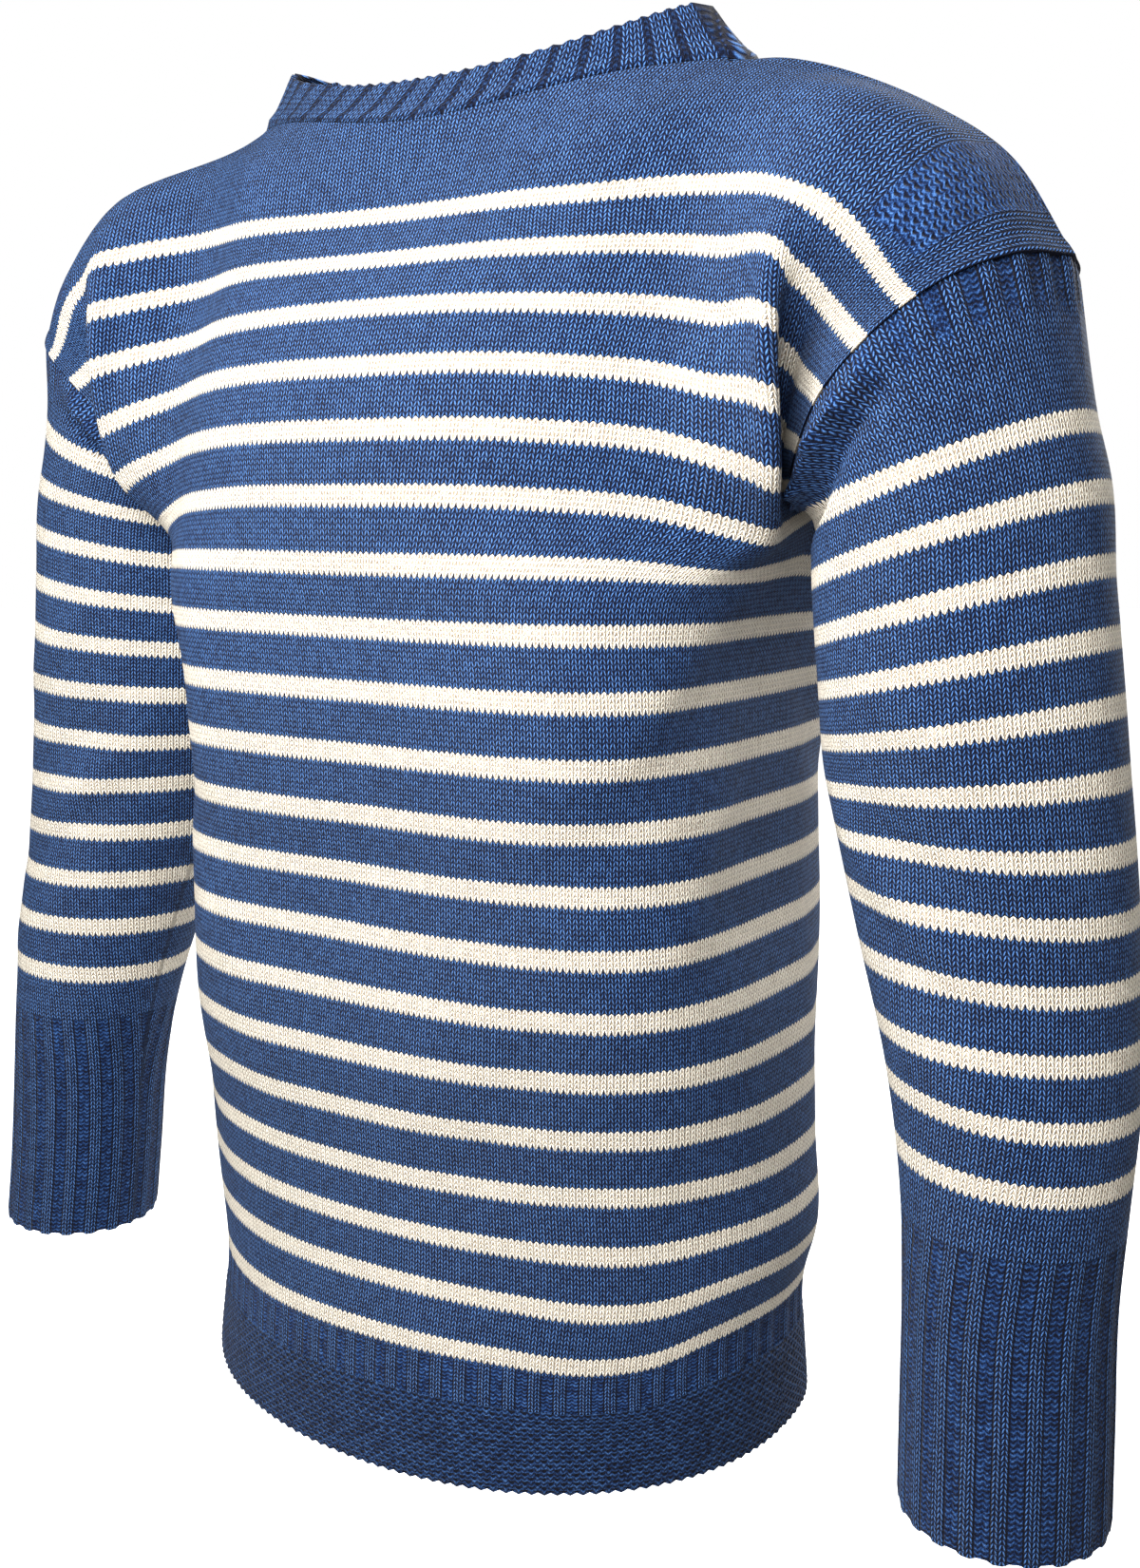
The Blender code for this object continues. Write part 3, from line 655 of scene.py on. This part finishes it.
# a sleeve's first ring is the armhole edge of both panels, with a point for each row
edge_rows = np.arange(TOP_ROW, UNDERARM_ROW + 0.1, 1.0)
edge_angle = through(ARMHOLE_ROWS, np.arange(0, 181, 20), edge_rows)[:, 0]
ring_angle = np.concatenate([edge_angle, 360 - edge_angle[-2:0:-1]])
half_ring = len(ring_angle) // 2
inside = 180 - np.abs(ring_angle - 180)
sleeve_rows = np.append(np.arange(0, CUFF_ROW, 2.0), CUFF_ROW)
sleeve_look = knit("striped_sleeve", stripes=(27, 159), shadow=.15)
for side, word, column in ((1, "left", -1), (-1, "right", 0)):
    name = "sleeve_" + word
    armhole = around_armhole(front[:armhole_end + 1, column], back[:armhole_end + 1, column])
    keys = np.array((0, HEAD_ROWS, HEAD_ROWS + 12, HEAD_ROWS + 24), float)
    head = np.array([armhole] + [sleeve_ring(side, k, ring_angle) for k in keys[1:]])
    top = through(keys, head, sleeve_rows[sleeve_rows < HEAD_ROWS]).reshape(-1, len(ring_angle), 3)
    rest = [sleeve_ring(side, r, ring_angle) for r in sleeve_rows[sleeve_rows >= HEAD_ROWS]]
    grids[name] = np.concatenate([top, rest])
    # rows above the first stripe are fewer towards the underarm, where the armhole is nearer
    reach = np.linalg.norm(head[1] - head[0], axis=1) * 1000 / ROW
    v = np.repeat(sleeve_rows[:, None], len(ring_angle), axis=1)
    v = np.where(v < HEAD_ROWS, HEAD_ROWS - (HEAD_ROWS - v) / HEAD_ROWS * reach, v)
    u = whole_ring(side, sleeve_rows)
    point_u = u[:, :-1]
    from_seam = v - v[:1]
    rib = (1 - smooth(7.5, 10, from_seam)) * (1 - 0.75 * smooth(45, 80, inside))
    rib *= inside < RIB_REACH
    relief = -1.1 * rib * (1 - pair(point_u)) - 0.5 * (1 - smooth(0, 1.5, from_seam))
    fold = creases(point_u, v, SLEEVE_FOLDS) * smooth(0, 12, from_seam)
    # the cloth rolls over itself under the front of the arm
    roll = smooth(72, 100, inside) * (1 - smooth(150, 172, inside))
    roll *= np.where(ring_angle < 180, 1, 0.5)
    uneven = 1 + 0.35 * np.sin(point_u * 1.1) * np.sin(point_u * 0.37 + 1)
    fold += roll * (8.0 * uneven * np.exp(-((from_seam - 3.8) / 2.1) ** 2)
                    - 5.5 * np.exp(-((from_seam - 8.6) / 1.9) ** 2))
    fold *= 1 - smooth(160, 171, v)
    piece = cloth(name, u, closed_round(v), sleeve_look, fold=fold, relief=relief,
                  rib=rib, moss=0)

# ---------------------------------------------------------------- cuffs
# Long two-and-two ribbed cuffs, knitted on at the end of each sleeve in the same blue yarn.
# They hold the sleeve's end in, and their raised pairs of stitches end in a wavy lower edge.
CUFF_END_ROW = 226
# the cuffs get a little painted shade over the whole piece, and painted shadow in their sunk
# stitches
cuff_look = knit("cuff_rib", shade=.90, shadow=.15)
cuff_rows = np.arange(CUFF_ROW, CUFF_END_ROW + 0.1, 1.0)
v = np.repeat(cuff_rows[:, None], len(ring_angle), axis=1)
for side, word in ((1, "left"), (-1, "right")):
    name = "cuff_" + word
    grids[name] = np.array([sleeve_ring(side, r, ring_angle) for r in cuff_rows])
    u = whole_ring(side, cuff_rows)
    pairs = pair(u[:, :-1])
    rib = smooth(CUFF_ROW - 1, CUFF_ROW + 1, v)
    hem = smooth(CUFF_END_ROW - 2, CUFF_END_ROW, v)
    piece = cloth(name, u, closed_round(v), cuff_look,
                  relief=-0.8 * rib * (1 - pairs) - 0.6 * hem * pairs,
                  drop=0.0012 * hem * (pairs - 0.5), rib=rib, moss=0)

# ---------------------------------------------------------------- neckband
# A low band picked up round the neck, in a thin slanting rib.  Its first rows roll over the
# pick-up seam, and it stands a little inwards so that the neck lies close.
BAND_BASE = (.126, .057)                # half width and half depth of the neck opening
BAND_TOP = (.115, -.054, .046)          # half width, front and back of its upper edge
BAND_TOP_Z = (.004, .030, .020)         # height in front, at the sides and behind
BAND_ROWS = 8
BAND_END = 3 * NECK_WALES               # the stitch number where the band closes, at the right
# the band gets a little painted shade over the whole piece, and strong painted shadow in its thin
# sunk lines
band_look = knit("neckband_rib", shade=.95, spread=.93, crisp=8.0, shadow=.5)
neck = np.flatnonzero(np.abs(wales) <= NECK_WALES)
base = np.concatenate([front[0, neck], back[0, neck[::-1][1:-1]]])
angle = np.arctan2(base[:, 0] / BAND_BASE[0], -base[:, 1] / BAND_BASE[1])
s, c = np.sin(angle), np.cos(angle)
rim_z = np.where(c > 0, BAND_TOP_Z[0], BAND_TOP_Z[2])
rim = np.stack([BAND_TOP[0] * s, np.where(c > 0, BAND_TOP[1], -BAND_TOP[2]) * c,
                BAND_TOP_Z[1] + (rim_z - BAND_TOP_Z[1]) * np.abs(c) ** 1.6], axis=1)
step = np.linspace(0, 1, 13)[:, None]
grids["neckband"] = base + step[..., None] * (rim - base)
v = closed_round(np.repeat(-step * BAND_ROWS, len(base), axis=1))
band_u = np.concatenate([wales[neck], NECK_WALES + (NECK_WALES - wales[neck[::-1][1:-1]]),
                         [BAND_END]])
# the rib leans to the wearer's right in front, less and less towards the left shoulder
lean = np.interp(band_u, (-NECK_WALES, 0, 30, 60, BAND_END), (.75, .6, .1, 0, .75))
u = band_u[None, :] + lean[None, :] * v
relief = -0.7 * (1 - pair(u[:, :-1], 1.8)) * smooth(0, 0.15, step) * (1 - smooth(.8, 1, step))
# its first rows roll over the pick-up seam in uneven scallops
relief += (1.3 + 0.4 * np.sin(u[:, :-1] * 1.3)) * np.exp(-((step - 0.16) / 0.11) ** 2)
relief -= 0.4 * smooth(.85, 1, step)
piece = cloth("neckband", u, v, band_look, relief=relief,
              drop=-0.0006 * smooth(.8, 1, step) * np.sin(math.pi * u[:, :-1]), rib=1, moss=0)

# ---------------------------------------------------------------- sewing up
# The pieces meet edge to edge, a hair apart.  Where two meet, both turn their edge in the same
# direction, and each becomes a closed wall of cloth with a face and an inside.
WALL = 0.0024             # thickness of the knitted cloth
SEAM = 0.0001             # each edge stops this far short of its seam line
SHARP = 60                # degrees; the edge from a wall's face to its rim stays crisp


def is_closed(name):
    """Sleeves, cuffs and neckband are tubes; panels and welts have side edges."""
    return name.startswith(("sleeve", "cuff", "neck"))


def normals_of(grid, closed):
    """Outward unit normals of a grid of points (rows down, columns round)."""
    if closed:
        across = np.roll(grid, -1, axis=1) - np.roll(grid, 1, axis=1)
    else:
        across = np.gradient(grid, axis=1)
    n = np.cross(across, np.gradient(grid, axis=0))
    n /= np.linalg.norm(n, axis=2, keepdims=True)
    if closed:
        out = grid - grid.mean(axis=1, keepdims=True)
    else:
        out = grid * (1, 1, 0)
    return -n if (n * out).sum() < 0 else n


def unit(v):
    return v / np.linalg.norm(v, axis=-1, keepdims=True)


normals = {name: normals_of(grid, is_closed(name)) for name, grid in grids.items()}
n_front, n_back = normals["front_panel"], normals["back_panel"]
n_front[0, shoulder] = n_back[0, shoulder] = unit(n_front[0, shoulder] + n_back[0, shoulder])
for one, other, first in ((n_front, n_back, armhole_end),
                          (normals["front_welt"], normals["back_welt"], 0)):
    one[first:, [0, -1]] = other[first:, [0, -1]] = unit(
        one[first:, [0, -1]] + other[first:, [0, -1]])
for name, column in (("left", -1), ("right", 0)):
    sleeve = normals["sleeve_" + name]
    edge = around_armhole(n_front[:armhole_end + 1, column], n_back[:armhole_end + 1, column])
    sleeve[0] = edge = unit(sleeve[0] + edge)
    n_front[:armhole_end + 1, column] = edge[:half_ring + 1:2]
    n_back[1:armhole_end + 1, column] = edge[half_ring::2][::-1]
    n_back[0, column] = edge[0]
    normals["sleeve_" + name][-1] = normals["cuff_" + name][0] = unit(
        normals["sleeve_" + name][-1] + normals["cuff_" + name][0])
band = normals["neckband"]
panel_edge = np.concatenate([n_front[0, neck], n_back[0, neck[::-1][1:-1]]])
band[0] = panel_edge = unit(band[0] + panel_edge)
n_front[0, neck] = panel_edge[:len(neck)]
n_back[0, neck[::-1][1:-1]] = panel_edge[len(neck):]
n_back[0, neck[[0, -1]]] = n_front[0, neck[[0, -1]]]
for word in ("front", "back"):
    normals[word + "_panel"][-1] = normals[word + "_welt"][0] = unit(
        normals[word + "_panel"][-1] + normals[word + "_welt"][0])


def fill(name, mesh, u, v, fold, relief, drop, marks):
    """Fills a piece's mesh with its closed wall."""
    grid, closed = grids[name].copy(), is_closed(name)
    grid[..., 2] -= drop
    for edge, beside in ((0, 1), (-1, -2)):
        grid[edge] += SEAM * unit(grid[beside] - grid[edge])
        if not closed:
            grid[:, edge] += SEAM * unit(grid[:, beside] - grid[:, edge])
    rows, cols = grid.shape[:2]
    fold = np.broadcast_to(np.asarray(fold, float), (rows, cols))[..., None] / 1000
    relief = np.broadcast_to(np.asarray(relief, float), (rows, cols))[..., None] / 1000
    outer = grid + normals[name] * (WALL / 2 + fold + relief)
    inner = grid + normals[name] * (fold - WALL / 2)
    points = np.concatenate([outer.reshape(-1, 3), inner.reshape(-1, 3)])
    shift = rows * cols
    span = cols if closed else cols - 1
    i, j = np.meshgrid(np.arange(rows - 1), np.arange(span), indexing="ij")
    i, j = i.ravel(), j.ravel()
    k = (j + 1) % cols
    face = np.stack([i * cols + j, i * cols + k, (i + 1) * cols + k, (i + 1) * cols + j], axis=1)

    def numbers(*places):
        return np.stack([np.stack([u[at], v[at]], axis=1) for at in places], axis=1)

    flat = numbers((i, j), (i, j + 1), (i + 1, j + 1), (i + 1, j))
    faces, corners = [face, (face + shift)[:, ::-1]], [flat, flat[:, ::-1]]
    walls = [(np.full(span, r), np.arange(span), np.full(span, r), np.arange(span) + 1, r > 0)
             for r in (0, rows - 1)]
    if not closed:
        walls += [(np.arange(rows - 1), np.full(rows - 1, q), np.arange(1, rows),
                   np.full(rows - 1, q), q == 0) for q in (0, cols - 1)]
    for i0, j0, i1, j1, forward in walls:
        a, b = i0 * cols + j0 % cols, i1 * cols + j1 % cols
        quad = np.stack([a, b, b + shift, a + shift], axis=1)
        at = numbers((i0, j0), (i1, j1), (i1, j1), (i0, j0))
        faces.append(quad if forward else quad[:, ::-1])
        corners.append(at if forward else at[:, ::-1])
    faces, corners = np.concatenate(faces), np.concatenate(corners)
    a, b, c, d = (points[faces[:, q]] for q in range(4))
    volume = np.einsum("ij,ij->", a, np.cross(b, c)) + np.einsum("ij,ij->", a, np.cross(c, d))
    if volume < 0:
        faces, corners = faces[:, ::-1], corners[:, ::-1]
    mesh.from_pydata(points, [], faces)
    mesh.update()
    layer = mesh.uv_layers.new(name="stitches")
    layer.data.foreach_set("uv", corners.astype(np.float32).ravel())
    for word, values in marks.items():
        values = np.broadcast_to(values, (rows, cols)).ravel()
        mark = mesh.attributes.new(word, "FLOAT", "POINT")
        mark.data.foreach_set("value", np.concatenate([values, values]).astype(np.float32))
    mesh.shade_smooth()
    mesh.set_sharp_from_angle(angle=math.radians(SHARP))


for piece_facts in waiting:
    fill(*piece_facts)
